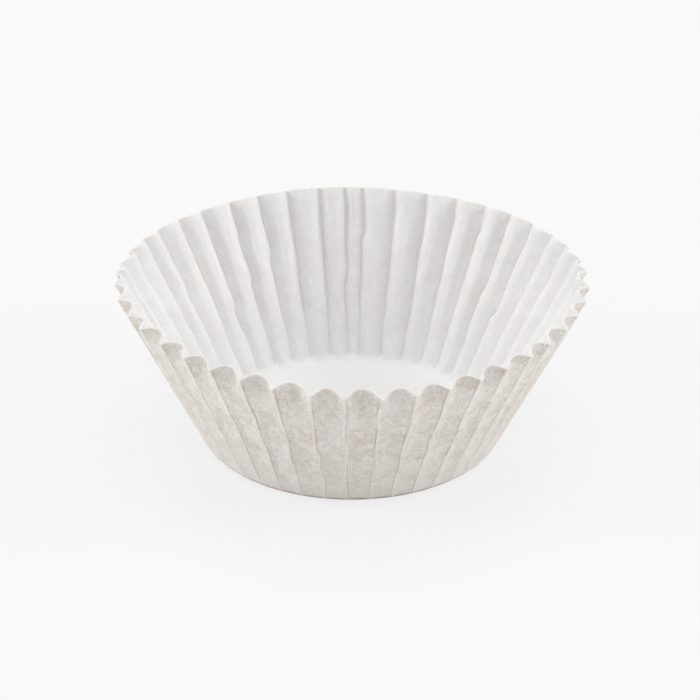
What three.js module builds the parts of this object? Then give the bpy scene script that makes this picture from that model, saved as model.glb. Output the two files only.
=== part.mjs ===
// A fluted paper candy cup: one disc of thin white paper, pressed so that its outer
// part stands up as a ring of pleats round a flat floor.
// Millimetres, +Z up. The origin is the centre of the underside of the floor.

import * as THREE from 'three';
import { ParametricGeometry } from 'three/addons/geometries/ParametricGeometry.js';

// The sheet, before it is pressed
const PAPER_THICKNESS = 0.08;
const FLOOR_DIAMETER = 32;
const WALL_LENGTH = 19.9; // along the paper, from the floor's edge to the cut edge

// The pressed form
const WALL_FLARE = 27.9; // degrees from upright, mean along the outer creases
const CORNER_RADIUS = 0.7; // bend between the floor and the wall
const FLUTE_COUNT = 45;
const FLUTE_DEPTH = 1.4; // from a crease in to the top of a lobe, at the cut edge
const FLUTE_START = 0.7; // up the wall, where the flutes begin
const FLUTE_GROWTH = 0.62; // power of the distance up the wall: deep early, then steady
const FOLD_SIDE = 0.43; // share of a flute's width that each side takes, low on the wall
const FOLD_ROUNDING = 0.16; // how far the fold's round top reaches down its sides
const LOBE_SIDE = 0.27; // and the same two at the cut edge, where the folds are open lobes
const LOBE_ROUNDING = 0.78;
const OPEN_FROM = 0.55; // share of the wall's length where the folds begin to open
const CREASE_WIDTH = 0.2; // blunt tip of each outer crease

// The press and the hand leave the flutes uneven. They are numbered anticlockwise from
// the front left, and these are shares of the mean width of a flute.
const FIRST_CREASE = 207.3; // degrees
const UNEVEN_FLUTES = {
  0: 1.2, 1: 1.15, 2: 1.1, 3: 1.05, 4: 1.05, 5: 1.1, 7: 1.05, 14: 1.1, 17: 1.05, 18: 1.2,
  19: 0.94, 20: 0.94, 21: 0.94, 22: 0.94, 23: 0.94, 26: 1.05, 27: 1.1, 28: 1.05,
  29: 0.62, 30: 0.85, 31: 1.05, 34: 1.05, 35: 0.92, 37: 0.8, 38: 0.86, 40: 0.66, 41: 0.8,
  42: 1.25, 43: 1.2,
};
const WIDTH_POWER = 0.75; // a narrow flute is a shallow one
const DEPTH_RIPPLE = 0.07; // flutes differ in depth by this share
const SIDE_SHALLOWER = 0.18; // and are shallower at the cup's left and right

// The rim isn't quite round: extra flare in degrees, with the waves round the cup
const FLARE_WAVES = [
  { waves: 1, cosine: 0.35, sine: 1.5 },
  { waves: 2, cosine: 0.3, sine: -0.5 },
  { waves: 3, cosine: -0.1, sine: 2 },
  { waves: 4, cosine: 0, sine: 0.2 },
];

// How finely the curved paper is cut into flat facets
const LOBE_PLACES = [0, 0.17, 0.33, 0.5, 0.67, 0.83, 1]; // shares of a lobe's width
const CORNER_FACETS = 2; // round the bend at the floor's edge
const WALL_STATIONS = [0.1, 0.26, 0.5, 0.76, 1]; // shares of the wall's length
const FLOOR_STATIONS = [0, 0.6]; // shares of the floor's radius
const PATH_STEPS = 60; // steps that follow one line of the paper up the wall

const PAPER_COLOUR = 0xf2f0ec;

const floorRadius = FLOOR_DIAMETER / 2;
const meanRise = THREE.MathUtils.degToRad(90 - WALL_FLARE); // final slope above the floor
const cornerLength = CORNER_RADIUS * meanRise;
const sheetRadius = floorRadius + WALL_LENGTH;
const rimRadius = floorRadius + WALL_LENGTH * Math.cos(meanRise);
const meanPitch = (2 * Math.PI) / FLUTE_COUNT;
const bluntTurn = CREASE_WIDTH / rimRadius; // a crease's blunt tip, as an angle
const creaseTurns = placeCreases();

// Angle of every crease round the cup, and of the first one again at the end.
function placeCreases() {
  const shares = Array.from({ length: FLUTE_COUNT }, (_, flute) => UNEVEN_FLUTES[flute] ?? 1);
  const total = shares.reduce((sum, share) => sum + share, 0);
  const turns = [THREE.MathUtils.degToRad(FIRST_CREASE)];
  for (const share of shares) {
    turns.push(turns[turns.length - 1] + (2 * Math.PI * share) / total);
  }
  return turns;
}

// The flute that an angle falls in, with its width and how deep it is for its place.
function fluteAt(azimuth) {
  const first = creaseTurns[0];
  const full = 2 * Math.PI;
  const turn = first + ((((azimuth - first) % full) + full) % full);
  let flute = 0;
  while (flute < FLUTE_COUNT - 1 && turn >= creaseTurns[flute + 1]) flute += 1;
  const start = creaseTurns[flute];
  const pitch = creaseTurns[flute + 1] - start;
  const middle = start + pitch / 2;
  const deep = (1 + DEPTH_RIPPLE * Math.sin(1.9 * flute + 0.6))
    * (1 - SIDE_SHALLOWER * Math.cos(middle) ** 2)
    * (pitch / meanPitch) ** WIDTH_POWER;
  return { lobe: (turn - start - bluntTurn / 2) / (pitch - bluntTurn), deep };
}

// Depth of the mean flute at a distance up the wall.
function fluteDepth(climbed) {
  const share = Math.max(0, climbed - FLUTE_START) / (WALL_LENGTH - FLUTE_START);
  return FLUTE_DEPTH * share ** FLUTE_GROWTH;
}

// How far into the cup a flute's section reaches at a place across it, from 0 on the
// creases to 1 on its top: straight sides and a round top.
function section(lobe, side, rounding) {
  if (lobe <= 0 || lobe >= 1) return 0;
  const climb = Math.min(lobe, 1 - lobe) / side;
  if (climb >= 1 + rounding) return 1;
  const over = Math.max(0, climb - (1 - rounding));
  return climb - (over * over) / (4 * rounding);
}

// How far in the paper lies at a distance up the wall: a sharp fold low down, which opens
// into a round lobe at the cut edge.
function fluteReach(lobe, climbed) {
  const folded = section(lobe, FOLD_SIDE, FOLD_ROUNDING);
  const opened = section(lobe, LOBE_SIDE, LOBE_ROUNDING);
  const openness = THREE.MathUtils.smoothstep(climbed / WALL_LENGTH, OPEN_FROM, 1);
  return fluteDepth(climbed) * THREE.MathUtils.lerp(folded, opened, openness);
}

// Final slope of the wall above the floor, at an angle round the cup.
function wallRise(azimuth) {
  let flare = WALL_FLARE;
  for (const { waves, cosine, sine } of FLARE_WAVES) {
    flare += cosine * Math.cos(waves * azimuth) + sine * Math.sin(waves * azimuth);
  }
  return THREE.MathUtils.degToRad(90 - flare);
}

// Radius and height at a distance up the wall. Paper doesn't stretch, so every line of it
// keeps its length, and a line that leans in over a lobe ends higher than one on a crease:
// this gives the cut edge its scallops.
function wallPoint(azimuth, climbed) {
  const { lobe, deep } = fluteAt(azimuth);
  const rise = wallRise(azimuth);
  const step = climbed / PATH_STEPS;
  let radius = floorRadius;
  let height = 0;
  for (let i = 0; i < PATH_STEPS; i++) {
    const here = i * step;
    const slope = Math.min((here + step / 2) / CORNER_RADIUS, rise);
    const deeper = deep * (fluteReach(lobe, here + step) - fluteReach(lobe, here));
    const outward = step * Math.cos(slope) - deeper;
    radius += outward;
    height += Math.sqrt(Math.max(0, step * step - outward * outward));
  }
  return { radius, height };
}

// Middle of the paper's thickness, for a point of the flat disc given by its angle and its
// distance from the disc's centre.
function sheetPoint(azimuth, distance) {
  const { radius, height } = distance <= floorRadius
    ? { radius: distance, height: 0 }
    : wallPoint(azimuth, distance - floorRadius);
  return new THREE.Vector3(
    radius * Math.cos(azimuth),
    radius * Math.sin(azimuth),
    height + PAPER_THICKNESS / 2,
  );
}

// Direction across the paper, pointing into the cup.
function sheetNormal(azimuth, distance) {
  const reach = 0.01;
  const turn = reach * meanPitch;
  const from = Math.max(distance, 4 * reach);
  const round = sheetPoint(azimuth + turn, from).sub(sheetPoint(azimuth - turn, from));
  const end = Math.min(from + reach, sheetRadius);
  const along = sheetPoint(azimuth, end).sub(sheetPoint(azimuth, end - 2 * reach));
  return along.cross(round).normalize();
}

// Angles where the facets meet: both sides of each crease's tip, and between them the lobe.
function facetAngles() {
  const angles = [];
  for (let flute = 0; flute < FLUTE_COUNT; flute++) {
    const start = creaseTurns[flute] + bluntTurn / 2;
    const width = creaseTurns[flute + 1] - creaseTurns[flute] - bluntTurn;
    angles.push(...LOBE_PLACES.map((place) => start + place * width));
  }
  return angles;
}

// Distances from the disc's centre where the facets meet.
function sheetStations() {
  const stations = FLOOR_STATIONS.map((share) => share * floorRadius);
  for (let i = 0; i <= CORNER_FACETS; i++) {
    stations.push(floorRadius + (cornerLength * i) / CORNER_FACETS);
  }
  return stations.concat(WALL_STATIONS.map((share) => floorRadius + share * WALL_LENGTH));
}

// The closed skin of the paper: out and up its outer face, over the cut edge and back down
// its inner face.
function fluteSheetGeometry() {
  const angles = facetAngles();
  const stations = sheetStations();
  const rows = [
    ...stations.map((distance) => ({ distance, side: -1 })),
    ...stations.toReversed().map((distance) => ({ distance, side: 1 })),
  ];
  const skin = (u, v, target) => {
    const azimuth = angles[Math.round(u * angles.length) % angles.length];
    const { distance, side } = rows[Math.round(v * (rows.length - 1))];
    const normal = distance === 0 ? new THREE.Vector3(0, 0, 1) : sheetNormal(azimuth, distance);
    const offset = (side * PAPER_THICKNESS) / 2;
    target.copy(sheetPoint(azimuth, distance)).addScaledVector(normal, offset);
  };
  const geometry = new ParametricGeometry(skin, angles.length, rows.length - 1);
  geometry.deleteAttribute('normal');
  geometry.computeVertexNormals();
  return geometry;
}

function whitePaper() {
  return new THREE.MeshStandardMaterial({
    name: 'white_paper',
    color: PAPER_COLOUR,
    roughness: 0.92,
    metalness: 0,
    flatShading: true,
  });
}

const cup = new THREE.Mesh(fluteSheetGeometry(), whitePaper());
cup.name = 'fluted_paper_cup';

const candyCup = new THREE.Group();
candyCup.add(cup);

export default candyCup;
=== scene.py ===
# A fluted paper candy cup: one disc of thin white paper pressed into pleats round a
# flat floor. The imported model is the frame. The cup is drawn again here as one finer
# sheet of paper, with the uneven flutes, kinks and fibres of a real one.

import math

import bpy
import numpy as np
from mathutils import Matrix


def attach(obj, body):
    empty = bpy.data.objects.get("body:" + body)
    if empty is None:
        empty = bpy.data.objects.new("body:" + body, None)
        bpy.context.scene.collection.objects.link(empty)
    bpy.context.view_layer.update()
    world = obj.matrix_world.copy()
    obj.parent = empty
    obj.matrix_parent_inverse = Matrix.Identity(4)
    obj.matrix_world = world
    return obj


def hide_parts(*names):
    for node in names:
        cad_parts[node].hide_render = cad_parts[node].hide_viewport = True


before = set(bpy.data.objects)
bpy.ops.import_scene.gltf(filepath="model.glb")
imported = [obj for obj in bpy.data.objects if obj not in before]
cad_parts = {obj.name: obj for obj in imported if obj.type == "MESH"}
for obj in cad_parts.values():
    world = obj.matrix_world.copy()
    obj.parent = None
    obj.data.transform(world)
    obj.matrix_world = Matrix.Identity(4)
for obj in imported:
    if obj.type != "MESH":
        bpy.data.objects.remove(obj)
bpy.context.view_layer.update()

MM = 0.001

# The camera, fitted to the rim, the silhouette and the floor in the photograph
FRAME_SIDE = 700  # pixels along each side of the photograph
RIM_RADIUS = 25.68  # mm, the unit that the camera was fitted in
RIM_HEIGHT = 17.6  # mm, height of the outer creases at the cut edge
VIEW_ELEVATION = 27.87  # degrees
VIEW_DISTANCE = 10.0  # rim radii
VIEW_SCALE = 238.06  # pixels to a rim radius at the rim's centre
VIEW_SHIFT = (0.0053, 0.2872)  # rim radii, sideways and up
SENSOR = 36.0
CLIP_START = 0.01  # metres
CLIP_END = 20

# The sheet and the pressed form. Lengths from here to the mesh are in millimetres.
PAPER_THICKNESS = 0.08
FLOOR_RADIUS = 16.0
WALL_LENGTH = 19.9  # along the paper
WALL_FLARE = 27.9  # degrees from upright, mean along the outer creases
CORNER_RADIUS = 0.7
FLUTE_COUNT = 45
FLUTE_DEPTH = 1.4
FLUTE_START = 0.35  # up the wall, where the flutes begin
FLUTE_GROWTH = 0.34  # power of the distance up the wall
FLUTE_EASE = 0.003  # keeps the very start of a flute from folding under
CREASE_WIDTH = 0.2  # blunt tip of each outer crease

# The section of a flute: a shallow fold low on the wall, an open lobe at the cut edge
FOLD_SIDE = 0.33  # share of a flute's width that each side of the fold takes
FOLD_ROUNDING = 0.22  # how far the fold's round top reaches down its sides
LOBE_SIDE = 0.27  # and the same two for the lobe
LOBE_ROUNDING = 0.78
OPEN_FROM = 0.84  # share of the wall's length where the folds begin to open
SKEW_SPREAD = 0.05  # how unlike the flutes are in where their tops lie
PINCH_RISE = 0.07  # share of a fold's depth that lies in the pinched crease itself
PINCH_FRONT = 0.24  # and more than that at the front
LIP_CURL = math.radians(26)  # the lobes lean back out just below the cut edge
LIP_CURL_LENGTH = 1.2

# How deep the flutes are round the cup, as shares
DEPTH_RIPPLE = 0.07  # flutes differ in depth by this
SIDE_SHALLOWER = 0.18  # and are shallower at the cup's left and right
WIDTH_POWER = 0.75  # a narrow flute is a shallow one
FOLD_DEPTH = 0.95  # the folds are shallower than the lobes
FRONT_FLATTER = 0.7  # more so round the front half
FRONT_FROM = 0.1  # sine of the angle round the cup where the front half begins
FRONT_BLEND = 0.5  # and over how much of the sine it comes in
SIDE_FLATTER = 0.25  # the folds are flatter at the cup's left and right too
BACK_FLATTER = 0.45  # the lobes are flatter at the back
MIDDLE_FLATTER = 0.45  # and the folds in the middle of the back, more so high up
MIDDLE_GROWTH = 0.6  # power of the distance up the wall

# Flutes are numbered anticlockwise from the front left. Shares of the mean width.
FIRST_CREASE = 207.3  # degrees
WIDE_FLUTES = {0: 1.2, 1: 1.15, 2: 1.1, 3: 1.05, 4: 1.05, 5: 1.1, 7: 1.05, 14: 1.1, 17: 1.05,
               18: 1.2, 26: 1.05, 27: 1.1, 28: 1.05, 31: 1.05, 34: 1.05, 42: 1.25, 43: 1.2}
NARROW_FLUTES = {29: 0.62, 30: 0.85, 35: 0.92, 37: 0.8, 38: 0.86, 40: 0.66, 41: 0.8}
SIDE_FLUTES = range(19, 24)  # the flutes at the cup's right
SIDE_SHARE = 0.94

# The rim isn't quite round: extra flare in degrees, as (waves round, cosine, sine)
FLARE_WAVES = ((1, 0.35, 1.5), (2, 0.3, -0.5), (3, -0.1, 2.0), (4, 0.0, 0.2))
EDGE_WAVES = ((3, 0.05, 1.0), (7, 0.04, 2.0))  # height of the cut edge: waves round, size, start

# Creases wander a little, and each has a kink or two where the press pinched it
WANDER = 0.07
WANDER_SPACING = 3.5
WANDER_FADE = 3.0  # nothing moves at the floor's edge
KINK_SIZE = 0.095
KINKS = ((1.0, 0.1), (0.6, 0.2))  # share of the size, and spread of the place up the wall
KINK_PLACE = 0.5  # mean place up the wall
KINK_LOWEST = 0.15
KINK_HIGHEST = 0.88
KINK_LEAN = -0.85  # mean of a kink's direction round the cup and strength
KINK_LEAN_SPREAD = 0.6
KINK_SHARPNESS = 0.25  # distance up the wall over which the crease steps aside
KINK_REACH = 3.2  # and over which it comes back
LEAN_SIZE = 0.27  # the creases at the back right stand further round below the cut edge
LEAN_PLACE = math.radians(64)
LEAN_WIDTH = 0.42  # radians
LEAN_FADE = 2.5
CREASE_HOLD = 2.2  # power by which a crease's shift fades across its flutes

# Soft dents in the lobes, once and twice across each
DENT_SIZE = 0.05
DENT_SPACING = 2.2
SMALL_DENT_SHARE = 0.6
SMALL_DENT_SPACING = 1.2
DENT_FADE = 4.0

# The floor's ripple, the cut edge, and the toes in which the flutes end on the floor
FLOOR_RIPPLE = 0.035
RIPPLE_FADE = 2.0
LIP_SWELL = 0.6  # the cut leaves the edge of the paper a little thicker
LIP_SWELL_LENGTH = 0.4
TOE_IN = (0.45, 0.6, 3.0)  # size, how far in it starts on the floor, how far up it fades
TOE_UP = (0.3, 1.1, 2.0)

# How finely the sheet is cut
LOBE_COLUMNS = 20
PINCH_PLACE = 0.022  # share of a flute's width from the crease to its pinched line
WALL_ROWS = 46
ROW_GATHER = 0.2  # rows stand closer by this share at the cut edge, and wider at the floor
CORNER_ROWS = 3
CORNER_SPAN = 1.2  # corner radii up the wall that the corner rows take
FLOOR_RINGS = ((1.8, 36), (4.4, 12), (7.2, 4), (9.8, 4), (11.8, 2), (13.3, 2), (14.6, 2),
               (15.2, 1), (15.6, 1))  # radius, and how many columns apart its points are
PATH_STEP = 0.05  # in following one line of the paper up the wall
CREASE_NEAR = 0.07  # share of a flute's width that counts as near its crease
CREASE_SHADE_LEAST = 0.35  # strength of the painted shade beside the creases at the cup's left and right

# The flat disc on the UV square, once for each face of the paper, and the cut edge below
DISC_UV_RADIUS = 0.24
DISC_UV_X = 0.25
DISC_UV_Y = 0.5
FACE_UV_SHIFT = 0.5
STRIP_START = 0.01
STRIP_LENGTH = 0.98
STRIP_LOW = 0.006
STRIP_HIGH = 0.012

# Paper
INSIDE_WHITE = (0.91, 0.91, 0.905, 1)
OUTSIDE_WHITE = (0.95, 0.937, 0.92, 1)
FIBRE_TINT = (0.58, 0.485, 0.41, 1)
# painted light along the creases: a highlight on the ridges and less shade in the folds
CREASE_LIGHT_WHITE = (0.91, 0.895, 0.875, 1)
PAINTED_LIGHT_LOW_WHITE = (0.98, 0.95, 0.92, 1)  # painted light: the outer wall is a little paler near the floor, against the shade there
PAINTED_SHADE_BROWN = (0.38, 0.29, 0.22, 1)  # painted shade: a brown line along the fold round the floor, and beside the outer creases
CUT_WHITE = (0.95, 0.94, 0.93, 1)
CLOUD_SHARE = 0.28
FINE_SHARE = 0.66
FIBRE_SHARE = 0.34
FIBRE_BANDS = 90.0
# Mottle on each face. The outer face takes more: partly the paper's mottle, partly painted shade
# that darkens and warms it
STAIN_INSIDE = 0.24
STAIN_AND_SHADE_OUTSIDE = 0.8
LOW_STAIN_LIGHTENING = 0.55  # and less of it near the floor, as painted light that pales the wall there
# share of the painted light along the creases
CREASE_LIGHT_SHARE = 0.4
# painted shade beside the outer creases: its least and most share
CREASE_SHADE_PALEST = 0.1
CREASE_SHADE_DARKEST = 0.55
# painted shade along the outer fold round the floor
FOOT_SHADE_SHARE = 0.75
CUT_SHARE = 0.8
BUMP_STRENGTH = 0.7
BUMP_DISTANCE = 0.00012  # metres

# The floor that the cup stands on, the world and the lamps
FLOOR_SIDE = 6.0  # metres from its middle to each side
FLOOR_DROP = 0.02  # mm below the cup
FLOOR_WHITE = (0.93, 0.93, 0.93, 1)
FLOOR_GLOW = 0.8  # share of plain white that the camera sees on it near the cup
GLOW_NEAR = 0.25  # metres from the cup where that share begins to grow
GLOW_FAR = 0.8  # and where it is all of it
WORLD_LEVEL = 0.525
WORLD_WHITE = 0.95  # what the camera sees past the floor
LAMP_DISTANCE = 0.7  # metres
LAMPS = (  # name, azimuth and elevation in degrees, side in metres, level
    ("key_above", 90, 78, 0.5, 0.37),
    ("side_left", 184, 24, 0.35, 0.345),
    ("side_right", 357, 24, 0.35, 0.36),
)

rng = np.random.default_rng(45)


def add_camera():
    tilt = math.radians(VIEW_ELEVATION)
    data = bpy.data.cameras.new("view")
    data.sensor_width = SENSOR
    data.lens = SENSOR * VIEW_SCALE * VIEW_DISTANCE / FRAME_SIDE
    data.clip_start = CLIP_START
    data.clip_end = CLIP_END
    camera = bpy.data.objects.new("view", data)
    bpy.context.scene.collection.objects.link(camera)
    side, up = VIEW_SHIFT
    unit = RIM_RADIUS * MM
    camera.location = (
        -side * unit,
        -(VIEW_DISTANCE * math.cos(tilt) + up * math.sin(tilt)) * unit,
        RIM_HEIGHT * MM + (VIEW_DISTANCE * math.sin(tilt) - up * math.cos(tilt)) * unit,
    )
    camera.rotation_euler = (math.pi / 2 - tilt, 0, 0)
    bpy.context.scene.camera = camera


def smoothstep(value):
    value = np.clip(value, 0, 1)
    return value * value * (3 - 2 * value)


def smooth_noise(places, spacing, count):
    """Rows of smooth random numbers along a line, about one in size."""
    knots = int(places.max() / spacing) + 3
    values = rng.normal(0, 1, (count, knots))
    at = places / spacing
    low = at.astype(int)
    part = smoothstep(at - low)
    return values[:, low] * (1 - part) + values[:, low + 1] * part


def crease_turns():
    """The place of each crease round the cup, in radians, and of the first one again."""
    shares = np.ones(FLUTE_COUNT)
    shares[list(SIDE_FLUTES)] = SIDE_SHARE
    for table in (WIDE_FLUTES, NARROW_FLUTES):
        for number, share in table.items():
            shares[number] = share
    summed = np.concatenate([[0], np.cumsum(shares)]) / shares.sum()
    return math.radians(FIRST_CREASE) + 2 * math.pi * summed


def column_places():
    """Places across one flute: its ends, a pinched line by each, and others evenly between."""
    between = np.linspace(0, 1, LOBE_COLUMNS - 2)[1:-1]
    return np.concatenate([[0, PINCH_PLACE], between, [1 - PINCH_PLACE, 1]])


def wall_rows():
    """Distances up the wall at which the sheet is cut."""
    corner = CORNER_RADIUS * CORNER_SPAN
    shares = np.linspace(0, 1, WALL_ROWS + 1)[1:]
    shares = shares + ROW_GATHER * np.sin(math.pi * shares) / math.pi
    return np.concatenate([
        np.linspace(0, corner, CORNER_ROWS + 1)[1:],
        corner + (WALL_LENGTH - corner) * shares,
    ])


def section(across, side, rounding):
    """How far into the cup a flute reaches: straight sides and a round top."""
    climb = np.minimum(across, 1 - across) / side
    over = np.clip(climb - (1 - rounding), 0, 2 * rounding)
    return np.where(climb > 1 + rounding, 1.0, climb - over ** 2 / (4 * rounding))


# Every column of the sheet: its flute, its place across the flute and round the cup
creases = crease_turns()
lobe = np.tile(column_places(), FLUTE_COUNT)
flute = np.repeat(np.arange(FLUTE_COUNT), LOBE_COLUMNS)
pitch = creases[flute + 1] - creases[flute]
rim_radius = FLOOR_RADIUS + WALL_LENGTH * math.sin(math.radians(WALL_FLARE))
blunt = CREASE_WIDTH / rim_radius
turn = creases[flute] + blunt / 2 + lobe * (pitch - blunt)
back = np.clip(np.sin(turn), 0, 1)
ahead = np.clip(-np.sin(turn), 0, 1)
climb_rows = wall_rows()

skewed = lobe + rng.normal(0, SKEW_SPREAD, FLUTE_COUNT)[flute] * np.sin(math.pi * lobe) ** 2
pinch_rise = PINCH_RISE + PINCH_FRONT * ahead ** 3
folded = np.where(
    (lobe > 0) & (lobe < 1),
    pinch_rise + (1 - pinch_rise) * section(skewed, FOLD_SIDE, FOLD_ROUNDING),
    0.0,
)
opened = section(skewed, LOBE_SIDE, LOBE_ROUNDING) * (1 - BACK_FLATTER * back ** 2)

front = smoothstep((FRONT_FROM - np.sin(turn)) / FRONT_BLEND)
fold_share = FOLD_DEPTH * (1 - FRONT_FLATTER * front) * (1 - SIDE_FLATTER * np.cos(turn) ** 2)
middle = MIDDLE_FLATTER * back ** 6
depth_share = (
    (1 + DEPTH_RIPPLE * np.sin(1.9 * flute + 0.6))
    * (1 - SIDE_SHALLOWER * np.cos((creases[flute] + creases[flute + 1]) / 2) ** 2)
    * (pitch / (2 * math.pi / FLUTE_COUNT)) ** WIDTH_POWER
)


def flute_reach(climbed):
    """How far in every column lies at a distance up the wall."""
    share = max(0.0, climbed - FLUTE_START) / (WALL_LENGTH - FLUTE_START)
    openness = smoothstep((climbed / WALL_LENGTH - OPEN_FROM) / (1 - OPEN_FROM))
    fold = folded * fold_share * (1 - middle * share ** MIDDLE_GROWTH)
    start = FLUTE_EASE ** FLUTE_GROWTH
    grown = ((share + FLUTE_EASE) ** FLUTE_GROWTH - start) / (1 - start)
    return FLUTE_DEPTH * depth_share * grown * (fold * (1 - openness) + opened * openness)


def follow_wall():
    """Radius and height of every column at every row. Each column keeps its length."""
    extra = sum(
        cosine * np.cos(waves * turn) + sine * np.sin(waves * turn)
        for waves, cosine, sine in FLARE_WAVES
    )
    rise = math.radians(90 - WALL_FLARE) - np.radians(extra)
    radius = np.full(turn.shape, FLOOR_RADIUS)
    height = np.zeros(turn.shape)
    radii = []
    heights = []
    climbed = 0.0
    for row in climb_rows:
        steps = max(1, int(math.ceil((row - climbed) / PATH_STEP)))
        step = (row - climbed) / steps
        for _ in range(steps):
            curl = max(0.0, climbed - (WALL_LENGTH - LIP_CURL_LENGTH)) / LIP_CURL_LENGTH
            slope = np.minimum((climbed + step / 2) / CORNER_RADIUS, rise)
            slope = slope - LIP_CURL * curl * opened
            deeper = flute_reach(climbed + step) - flute_reach(climbed)
            outward = np.clip(step * np.cos(slope) - deeper, -step, step)
            radius = radius + outward
            height = height + np.sqrt(step * step - outward * outward)
            climbed += step
        radii.append(radius)
        heights.append(height)
    return np.array(radii), np.array(heights)


def crease_shift():
    """How far every crease is moved round the cup at every row."""
    sideways = WANDER * smooth_noise(climb_rows, WANDER_SPACING, FLUTE_COUNT)
    sideways = sideways * np.clip(climb_rows / WANDER_FADE, 0, 1)
    for size, spread in KINKS:
        place = np.clip(rng.normal(KINK_PLACE, spread, (FLUTE_COUNT, 1)), KINK_LOWEST, KINK_HIGHEST)
        off = climb_rows[None, :] - WALL_LENGTH * place
        lean = rng.normal(KINK_LEAN, KINK_LEAN_SPREAD, (FLUTE_COUNT, 1))
        kink = np.tanh(off / KINK_SHARPNESS) * np.exp(-(off / KINK_REACH) ** 2)
        sideways += size * KINK_SIZE * lean * kink
    lean_share = np.exp(-((creases[:-1] - 2 * math.pi - LEAN_PLACE) / LEAN_WIDTH) ** 2)[:, None]
    sideways -= LEAN_SIZE * lean_share * np.clip((WALL_LENGTH - climb_rows) / LEAN_FADE, 0, 1)
    return np.concatenate([sideways, sideways[:1]])


def wall_points():
    """The middle of the paper's thickness at every row and column of the wall."""
    radii, heights = follow_wall()
    sideways = crease_shift()
    shift = sideways[flute].T * (1 - lobe) ** CREASE_HOLD
    shift += sideways[flute + 1].T * lobe ** CREASE_HOLD
    turns = turn[None, :] + shift / radii
    dents = smooth_noise(climb_rows, DENT_SPACING, FLUTE_COUNT)[flute].T
    dents = dents * np.sin(math.pi * lobe)
    small = smooth_noise(climb_rows, SMALL_DENT_SPACING, FLUTE_COUNT)[flute].T
    dents = dents + SMALL_DENT_SHARE * small * np.sin(2 * math.pi * lobe)
    radii = radii + DENT_SIZE * dents * np.clip(climb_rows / DENT_FADE, 0, 1)[:, None]
    for waves, size, start in EDGE_WAVES:
        heights[-1] += size * np.sin(waves * turn + start)
    return np.stack([radii * np.cos(turns), radii * np.sin(turns), heights], -1)


def floor_height(x, y):
    """Two crossed ripples of the floor, which is flat at its edge."""
    ripple = (
        np.sin(0.55 * x + 0.9 * np.sin(0.31 * y + 1.0))
        * np.sin(0.47 * y + 0.8 * np.sin(0.38 * x + 2.0))
        + 0.5 * np.sin(1.1 * x - 0.7 * y + np.sin(0.6 * y))
    )
    fade = np.clip((FLOOR_RADIUS - np.hypot(x, y)) / RIPPLE_FADE, 0, 1)
    return FLOOR_RIPPLE * (1 + ripple / 1.5) * fade


class Ring:
    """Points round the sheet, at one distance from the flat disc's centre."""

    def __init__(self, points, step, distance):
        self.points = points
        self.step = step  # how many columns apart the points are
        self.climbed = distance - FLOOR_RADIUS
        self.turn = turn[::step]
        self.flat = distance * np.stack([np.cos(self.turn), np.sin(self.turn)], -1)

    def __len__(self):
        return len(self.points)


def sheet_rings():
    """Every ring of the sheet, from the centre outwards and up the wall."""
    rings = []
    for radius, step in FLOOR_RINGS + ((FLOOR_RADIUS, 1),):
        x = radius * np.cos(turn[::step])
        y = radius * np.sin(turn[::step])
        rings.append(Ring(np.stack([x, y, floor_height(x, y)], -1), step, radius))
    for points, climbed in zip(wall_points(), climb_rows):
        rings.append(Ring(points, 1, FLOOR_RADIUS + climbed))
    return rings


def ring_normals(rings):
    """Directions across the paper, into the cup, from the neighbours on the same grid."""
    normals = [np.tile([0.0, 0.0, 1.0], (len(rings[0]), 1))]
    for index in range(1, len(rings)):
        ring = rings[index]
        inner = rings[index - 1]
        along = np.roll(ring.points, -1, 0) - np.roll(ring.points, 1, 0)
        if inner.step != ring.step:
            outward = ring.points * [1, 1, 0]
        elif index + 1 < len(rings) and rings[index + 1].step == ring.step:
            outward = rings[index + 1].points - inner.points
        else:
            outward = ring.points - inner.points
        across = np.cross(outward, along)
        normals.append(across / np.linalg.norm(across, axis=1, keepdims=True))
    return normals


def toe(ring):
    """Inside, each flute ends in a round toe that stands a little way in on the floor."""
    size, lead, fade = TOE_IN
    inward = size * smoothstep((ring.climbed + lead) / lead) * smoothstep(1 - ring.climbed / fade)
    size, lead, fade = TOE_UP
    upward = size * smoothstep((ring.climbed + lead) / lead) * smoothstep(1 - ring.climbed / fade)
    shape = (folded * depth_share)[::ring.step]
    return np.stack([
        -inward * shape * np.cos(ring.turn),
        -inward * shape * np.sin(ring.turn),
        upward * shape,
    ], -1)


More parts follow.
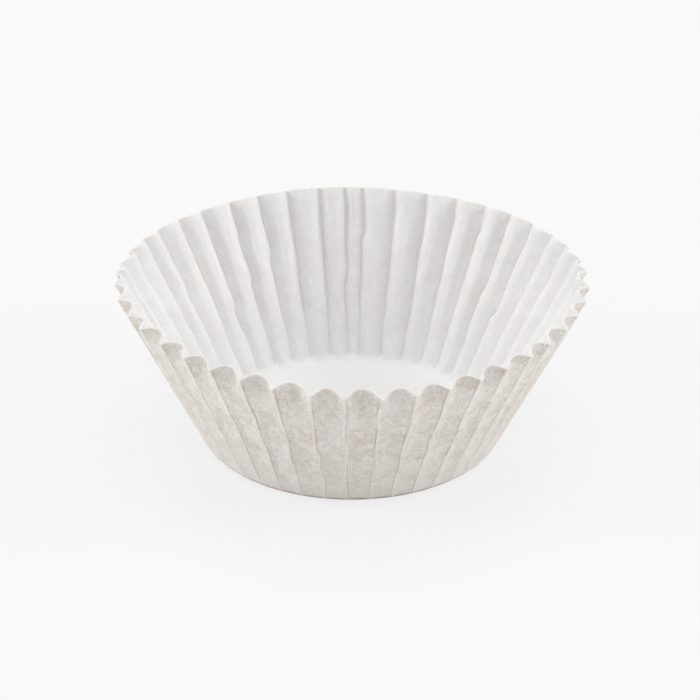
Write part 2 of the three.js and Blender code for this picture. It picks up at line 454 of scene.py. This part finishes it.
class Skin:
    """Vertices and faces of the sheet: its inner face, its outer face and its cut edge."""

    def __init__(self, rings):
        self.rings = rings
        self.starts = []  # first vertex of each ring, and each face's centre after them
        points = []
        flat = []
        outside = []
        count = 0
        middle_height = PAPER_THICKNESS / 2
        for half, side in enumerate((1, -1)):
            for ring, normal in zip(rings, ring_normals(rings)):
                swell = np.clip(1 - (WALL_LENGTH - ring.climbed) / LIP_SWELL_LENGTH, 0, 1)
                thick = side * PAPER_THICKNESS / 2 * (1 + LIP_SWELL * swell)
                placed = ring.points + normal * thick + [0, 0, middle_height]
                points.append(placed + toe(ring) if side > 0 else placed)
                flat.append(ring.flat)
                outside.append(np.full(len(ring), float(half)))
                self.starts.append(count)
                count += len(ring)
            points.append(np.array([[0, 0, middle_height + side * middle_height]]))
            flat.append(np.zeros((1, 2)))
            outside.append(np.full(1, float(half)))
            self.starts.append(count)
            count += 1
        self.points = np.concatenate(points) * MM
        self.flat = np.concatenate(flat)
        self.outside = np.concatenate(outside)

    def start(self, half, index):
        return self.starts[half * (len(self.rings) + 1) + index]

    def each_ring(self):
        """Each ring on each face: face, ring's number, ring and its vertices' slice."""
        for half in (0, 1):
            for index, ring in enumerate(self.rings):
                first = self.start(half, index)
                yield half, index, ring, slice(first, first + len(ring))

    def faces(self):
        faces = []
        for half in (0, 1):
            order = -1 if half else 1
            centre = self.start(half, len(self.rings))
            first = self.start(half, 0)
            size = len(self.rings[0])
            for j in range(size):
                faces.append((centre, first + j, first + (j + 1) % size)[::order])
            for index in range(len(self.rings) - 1):
                inner = self.start(half, index)
                outer = self.start(half, index + 1)
                coarse = len(self.rings[index])
                fine = len(self.rings[index + 1])
                ratio = fine // coarse
                for j in range(coarse):
                    run = [outer + (j * ratio + k) % fine for k in range(ratio + 1)]
                    faces.append((inner + j, *run, inner + (j + 1) % coarse)[::order])
        last = len(self.rings) - 1
        inner = self.start(0, last)
        outer = self.start(1, last)
        for j in range(len(turn)):
            k = (j + 1) % len(turn)
            faces.append((inner + k, inner + j, outer + j, outer + k))
        return faces


FIRST_WALL_RING = len(FLOOR_RINGS) + 1


def mark_sharp_edges(mesh, skin):
    """Crease lines and the cut edge stay crisp."""
    ends = np.empty(len(mesh.edges) * 2, dtype=np.int32)
    mesh.edges.foreach_get("vertices", ends)
    a, b = ends.reshape(-1, 2).T
    column = np.full(len(skin.points), -1)
    ring_of = np.full(len(skin.points), -1)
    for _, index, ring, span in skin.each_ring():
        ring_of[span] = index
        if ring.step == 1:
            column[span] = np.arange(len(ring))
    place = column[a] % LOBE_COLUMNS
    on_crease = (
        (column[a] >= 0) & (column[a] == column[b])
        & ((place == 0) | (place == LOBE_COLUMNS - 1))
        & (np.minimum(ring_of[a], ring_of[b]) >= FIRST_WALL_RING)
        & (ring_of[a] != ring_of[b])
    )
    last = len(skin.rings) - 1
    on_cut = (ring_of[a] == last) & (ring_of[b] == last)
    attribute = mesh.attributes.new("sharp_edge", "BOOLEAN", "EDGE")
    attribute.data.foreach_set("value", on_crease | on_cut)


def add_point_values(mesh, skin):
    """What the paper's material reads: which face a point is on, how near a crease it is,
    how far up the wall, and how much painted shade it takes beside a crease."""
    crease = np.zeros(len(skin.points))
    climb = np.full(len(skin.points), -FLOOR_RADIUS)
    crease_shade = np.zeros(len(skin.points))
    column = np.arange(len(turn)) % LOBE_COLUMNS
    # On the outer face, the column beside each crease, on the side turned towards the front, takes
    # painted shade, most at the front and back
    crease_shade_columns = np.where(np.cos(turn) < 0, column == 1, column == LOBE_COLUMNS - 2)
    crease_shade_columns = crease_shade_columns * (CREASE_SHADE_LEAST + (1 - CREASE_SHADE_LEAST) * np.sin(turn) ** 2)
    off = np.minimum(lobe, 1 - lobe)
    for half, index, ring, span in skin.each_ring():
        climb[span] = ring.climbed
        if index >= FIRST_WALL_RING:
            crease[span] = np.clip(1 - off / CREASE_NEAR, 0, 1)
            crease_shade[span] = crease_shade_columns * half
    for name, values in (("outside", skin.outside), ("crease", crease),
                         ("climb", climb / WALL_LENGTH), ("crease_shade", crease_shade)):
        layer = mesh.attributes.new(name, "FLOAT", "POINT")
        layer.data.foreach_set("value", values.astype(np.float32))


def add_uvs(mesh, skin):
    """The flat disc, once for each face of the paper, and a strip for the cut edge."""
    disc = skin.flat * DISC_UV_RADIUS / (FLOOR_RADIUS + WALL_LENGTH)
    disc[:, 0] += DISC_UV_X + FACE_UV_SHIFT * skin.outside
    disc[:, 1] += DISC_UV_Y
    loops = np.empty(len(mesh.loops), dtype=np.int32)
    mesh.loops.foreach_get("vertex_index", loops)
    uv = disc[loops]
    total = len(turn)
    start = STRIP_START + STRIP_LENGTH * np.arange(total) / total
    end = start + STRIP_LENGTH / total
    low = np.full(total, STRIP_LOW)
    high = np.full(total, STRIP_HIGH)
    strip = np.stack([end, high, start, high, start, low, end, low], -1)
    uv[-4 * total:] = strip.reshape(-1, 2)
    layer = mesh.uv_layers.new(name="disc")
    layer.data.foreach_set("uv", uv.astype(np.float32).ravel())


def build_cup():
    skin = Skin(sheet_rings())
    mesh = bpy.data.meshes.new("paper_cup")
    mesh.from_pydata(skin.points.tolist(), [], skin.faces())
    mesh.update()
    mesh.shade_smooth()
    mark_sharp_edges(mesh, skin)
    add_point_values(mesh, skin)
    add_uvs(mesh, skin)
    cup = bpy.data.objects.new("paper_candy_cup", mesh)
    bpy.context.scene.collection.objects.link(cup)
    return cup


class Nodes:
    """A short way to write a node tree."""

    def __init__(self, owner):
        owner.use_nodes = True
        self.tree = owner.node_tree
        self.tree.nodes.clear()

    def add(self, kind, **settings):
        node = self.tree.nodes.new(kind)
        for key, value in settings.items():
            setattr(node, key, value)
        return node

    def put(self, socket, value):
        if isinstance(value, bpy.types.NodeSocket):
            self.tree.links.new(value, socket)
        else:
            socket.default_value = value

    def math(self, operation, a, b=0.0):
        node = self.add("ShaderNodeMath", operation=operation)
        self.put(node.inputs[0], a)
        self.put(node.inputs[1], b)
        return node.outputs[0]

    def times(self, a, b):
        return self.math("MULTIPLY", a, b)

    def plus(self, a, b):
        return self.math("ADD", a, b)

    def ramp(self, value, low, high, to_low=0.0, to_high=1.0):
        node = self.add("ShaderNodeMapRange", clamp=True, interpolation_type="SMOOTHSTEP")
        for socket, number in zip(node.inputs, (value, low, high, to_low, to_high)):
            self.put(socket, number)
        return node.outputs[0]

    def mix(self, share, a, b, blend="MIX"):
        node = self.add("ShaderNodeMix", data_type="RGBA", blend_type=blend)
        self.put(node.inputs[0], share)
        self.put(node.inputs[6], a)
        self.put(node.inputs[7], b)
        return node.outputs[2]

    def mix_shaders(self, share, a, b):
        node = self.add("ShaderNodeMixShader")
        for socket, value in zip(node.inputs, (share, a, b)):
            self.put(socket, value)
        return node.outputs[0]

    def noise(self, vector, scale, detail=2.0, rough=0.5, distortion=0.0):
        node = self.add("ShaderNodeTexNoise", noise_dimensions="2D")
        self.put(node.inputs["Vector"], vector)
        self.put(node.inputs["Scale"], scale)
        self.put(node.inputs["Detail"], detail)
        self.put(node.inputs["Roughness"], rough)
        self.put(node.inputs["Distortion"], distortion)
        return node.outputs[0]

    def attribute(self, name):
        return self.add("ShaderNodeAttribute", attribute_name=name).outputs["Fac"]

    def finish(self, kind, shader):
        self.put(self.add(kind).inputs[0], shader)


def paper():
    material = bpy.data.materials.new("white_paper")
    n = Nodes(material)
    scale = n.add("ShaderNodeVectorMath", operation="SCALE")
    n.put(scale.inputs[0], n.add("ShaderNodeUVMap", uv_map="disc").outputs[0])
    n.put(scale.inputs["Scale"], (FLOOR_RADIUS + WALL_LENGTH) / DISC_UV_RADIUS)
    place = scale.outputs[0]  # millimetres on the flat sheet
    outside = n.attribute("outside")
    climb = n.attribute("climb")

    # Cloudy formation of the sheet, and short curled fibres along the lines of a noise
    cloud = n.noise(place, 0.45, 4.0, 0.6, 0.8)
    fine = n.noise(place, 2.8, 4.0, 0.76, 1.8)
    bands = n.math("SINE", n.times(n.noise(place, 0.6, 3.0, 0.55, 0.9), FIBRE_BANDS))
    fibre = n.times(n.ramp(bands, 0.0, 1.0), n.ramp(n.noise(place, 0.9, 2.0), 0.4, 0.62))
    stain = n.times(n.ramp(cloud, 0.33, 0.67), CLOUD_SHARE)
    stain = n.plus(stain, n.times(n.ramp(fine, 0.38, 0.62), FINE_SHARE))
    stain = n.plus(stain, n.times(fibre, FIBRE_SHARE))
    # More mottle on the outer face: partly the paper's own, partly painted shade on that face
    stain = n.times(stain, n.ramp(outside, 0, 1, STAIN_INSIDE, STAIN_AND_SHADE_OUTSIDE))
    # Painted light: less mottle low on the wall, which pales it near the floor
    stain = n.times(stain, n.ramp(climb, 0.0, 0.5, LOW_STAIN_LIGHTENING, 1.0))

    base = n.mix(outside, INSIDE_WHITE, OUTSIDE_WHITE)
    # Painted light: the outer wall pales towards the floor
    base = n.mix(n.times(n.ramp(climb, 0.05, 0.42, 1.0, 0.0), outside), base, PAINTED_LIGHT_LOW_WHITE)
    colour = n.mix(stain, base, FIBRE_TINT)
    # Painted light along the creases, on both faces: a highlight on the ridges and less shade in
    # the folds
    crease_light = n.times(n.math("POWER", n.attribute("crease"), 4.0), CREASE_LIGHT_SHARE)
    colour = n.mix(crease_light, colour, CREASE_LIGHT_WHITE)
    # Painted shade: a brown line beside each outer crease
    uneven_crease_shade = n.ramp(n.noise(place, 0.3, 2.0), 0.35, 0.65, CREASE_SHADE_PALEST, CREASE_SHADE_DARKEST)
    colour = n.mix(n.times(n.attribute("crease_shade"), uneven_crease_shade), colour, PAINTED_SHADE_BROWN)
    # Painted shade: a brown line along the outer fold round the floor
    foot_shade = n.times(n.ramp(climb, -0.03, 0.0), n.ramp(climb, 0.02, 0.045, 1.0, 0.0))
    colour = n.mix(n.times(n.times(foot_shade, outside), FOOT_SHADE_SHARE), colour, PAINTED_SHADE_BROWN)
    colour = n.mix(n.times(n.ramp(climb, 0.99, 0.997), CUT_SHARE), colour, CUT_WHITE)

    relief = n.plus(n.times(fine, 0.5), n.times(bands, 0.05))
    relief = n.plus(relief, n.times(cloud, 0.6))
    bump = n.add("ShaderNodeBump")
    n.put(bump.inputs["Strength"], BUMP_STRENGTH)
    n.put(bump.inputs["Distance"], BUMP_DISTANCE)
    n.put(bump.inputs["Height"], relief)

    shader = n.add("ShaderNodeBsdfPrincipled")
    n.put(shader.inputs["Base Color"], colour)
    n.put(shader.inputs["Roughness"], n.ramp(fine, 0.2, 0.8, 0.82, 0.95))
    n.put(shader.inputs["Specular IOR Level"], 0.25)
    n.put(shader.inputs["Sheen Weight"], 0.18)
    n.put(shader.inputs["Sheen Roughness"], 0.6)
    n.put(shader.inputs["Normal"], bump.outputs[0])
    n.finish("ShaderNodeOutputMaterial", shader.outputs[0])
    return material


def floor_material():
    """A pale matt floor. The camera sees much of it as plain white, with the shadow."""
    material = bpy.data.materials.new("pale_floor")
    n = Nodes(material)
    path = n.add("ShaderNodeLightPath")
    seen = n.math("MAXIMUM", path.outputs["Is Glossy Ray"], path.outputs["Is Transmission Ray"])
    seen = n.math("MAXIMUM", path.outputs["Is Camera Ray"], seen)
    grain = n.add("ShaderNodeTexNoise")
    n.put(grain.inputs["Scale"], 40.0)
    tone = n.ramp(grain.outputs[0], 0.2, 0.8, 0.985, 1.0)
    matt = n.add("ShaderNodeBsdfDiffuse")
    n.put(matt.inputs["Color"], n.mix(1.0, FLOOR_WHITE, tone, "MULTIPLY"))
    glow = n.add("ShaderNodeEmission")
    n.put(glow.inputs["Color"], FLOOR_WHITE)
    n.put(glow.inputs["Strength"], 1.0)
    away = n.add("ShaderNodeVectorMath", operation="LENGTH")
    n.put(away.inputs[0], n.add("ShaderNodeTexCoord").outputs["Object"])
    share = n.ramp(away.outputs["Value"], GLOW_NEAR, GLOW_FAR, FLOOR_GLOW, 1.0)
    blend = n.mix_shaders(n.times(seen, share), matt.outputs[0], glow.outputs[0])
    n.finish("ShaderNodeOutputMaterial", blend)
    return material


def add_floor():
    mesh = bpy.data.meshes.new("floor")
    corners = [(-1, -1), (1, -1), (1, 1), (-1, 1)]
    points = [(FLOOR_SIDE * x, FLOOR_SIDE * y, 0) for x, y in corners]
    mesh.from_pydata(points, [], [(0, 1, 2, 3)])
    mesh.materials.append(floor_material())
    floor = bpy.data.objects.new("floor", mesh)
    floor.location.z = -FLOOR_DROP * MM
    bpy.context.scene.collection.objects.link(floor)


def add_world():
    world = bpy.data.worlds.new("studio")
    n = Nodes(world)
    shades = []
    for level in (WORLD_LEVEL, WORLD_WHITE):
        shade = n.add("ShaderNodeBackground")
        n.put(shade.inputs["Color"], (1, 1, 1, 1))
        n.put(shade.inputs["Strength"], level)
        shades.append(shade.outputs[0])
    path = n.add("ShaderNodeLightPath")
    seen = n.math("MAXIMUM", path.outputs["Is Camera Ray"], path.outputs["Is Transmission Ray"])
    n.finish("ShaderNodeOutputWorld", n.mix_shaders(seen, *shades))
    bpy.context.scene.world = world


def add_lamp(name, azimuth, elevation, size, level):
    """A square soft lamp; level is what a white surface facing it renders as."""
    data = bpy.data.lights.new(name, "AREA")
    data.size = size
    data.energy = level * math.pi ** 2 * LAMP_DISTANCE ** 2
    lamp = bpy.data.objects.new(name, data)
    a = math.radians(azimuth)
    e = math.radians(elevation)
    lamp.location = (
        LAMP_DISTANCE * math.cos(e) * math.cos(a),
        LAMP_DISTANCE * math.cos(e) * math.sin(a),
        LAMP_DISTANCE * math.sin(e),
    )
    lamp.rotation_euler = (math.pi / 2 - e, 0, a + math.pi / 2)
    bpy.context.scene.collection.objects.link(lamp)


add_camera()

cup = build_cup()
cup.data.materials.append(paper())
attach(cup, "root")
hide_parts("fluted_paper_cup")

bpy.context.scene.view_settings.view_transform = "Standard"
add_floor()
add_world()
for lamp in LAMPS:
    add_lamp(*lamp)
